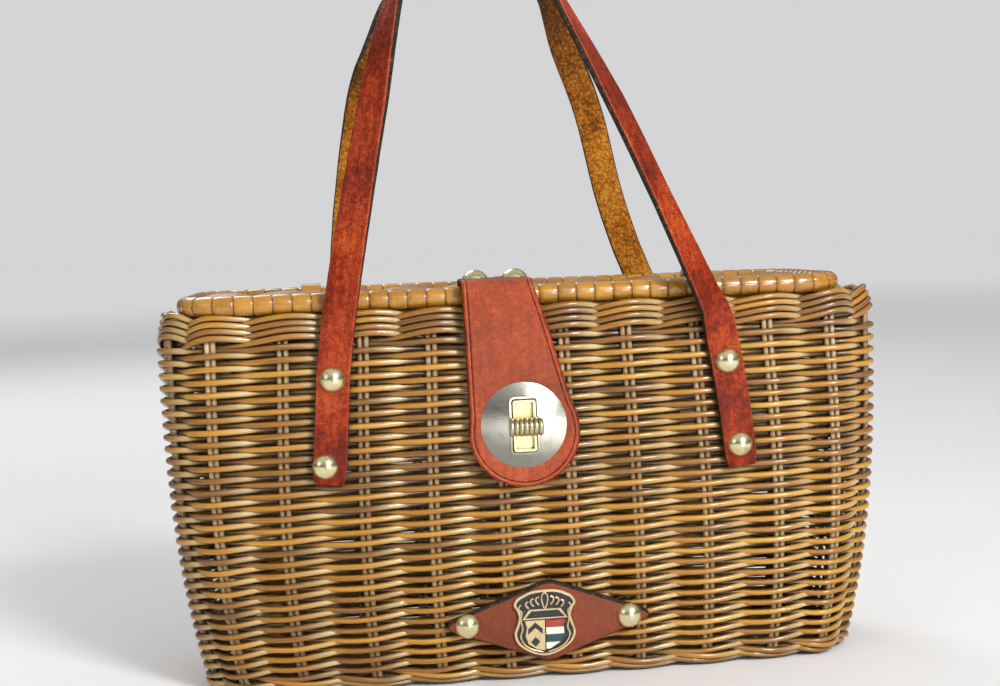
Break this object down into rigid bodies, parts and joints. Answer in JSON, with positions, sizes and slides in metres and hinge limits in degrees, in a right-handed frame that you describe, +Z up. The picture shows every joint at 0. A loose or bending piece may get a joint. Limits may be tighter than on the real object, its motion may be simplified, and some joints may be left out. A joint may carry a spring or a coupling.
{
  "type": "wicker box bag",
  "caption": "Box-shaped wicker handbag with a hinged cane-bound lid, leather closure tab with a turn lock, riveted strap handles and a leather patch with a plain shield.",
  "frame": {"origin": "middle of the flat underside of the woven base", "axes": "+Z up, the front with the lock faces -Y, +X to the viewer's right when facing the front"},
  "size_m": [0.28, 0.1268, 0.3008],
  "materials": {
    "wicker": "varnished round reed, golden brown, satin to glossy",
    "rim_rod": "varnished thick reed",
    "flat_cane": "glossy flat cane, honey brown",
    "strap_leather": "smooth red-brown leather, tan suede back, dark dyed edges",
    "rivet_metal": "pale gold plate, worn towards nickel",
    "lock_chrome": "polished nickel, lightly scratched",
    "lock_brass": "pale brass plate",
    "badge_metal": "gilt stamping with plain enamel fields"
  },
  "bodies": {
    "basket": {"woven_wall": "wicker", "woven_base": "wicker", "body_rim": "rim_rod", "hinge_loops": "flat_cane", "front_handle": "strap_leather", "rear_handle": "strap_leather", "front_handle_rivets": "rivet_metal", "rear_handle_rivets": "rivet_metal", "front_handle_washers": "rivet_metal", "rear_handle_washers": "rivet_metal", "lock_base": "lock_brass", "lock_backing": "lock_brass", "leather_patch": "strap_leather", "patch_rivets": "rivet_metal", "patch_washers": "rivet_metal", "badge": "badge_metal"},
    "lid": {"lid_border": "flat_cane", "lid_panel": "wicker", "tab_top": "strap_leather", "tab_rivets": "rivet_metal", "tab_washers": "rivet_metal"},
    "tab": {"closure_tab": "strap_leather", "lock_plate": "lock_chrome"},
    "knob": {"turn_knob": "lock_brass"}
  },
  "joints": [
    {"name": "lid_hinge", "type": "hinge", "parent": "basket", "child": "lid", "pos_m": [0, 0.0445, 0.1483], "axis": [-1, 0, 0], "range_deg": [0, 85]},
    {"name": "tab_hinge", "type": "hinge", "parent": "lid", "child": "tab", "pos_m": [-0.0123, -0.05418, 0.1534], "axis": [-1, 0, 0], "range_deg": [0, 90]},
    {"name": "knob_turn", "type": "hinge", "parent": "basket", "child": "knob", "pos_m": [-0.0046, -0.06268, 0.1004], "axis": [0, -1, 0], "range_deg": [0, 90]}
  ]
}
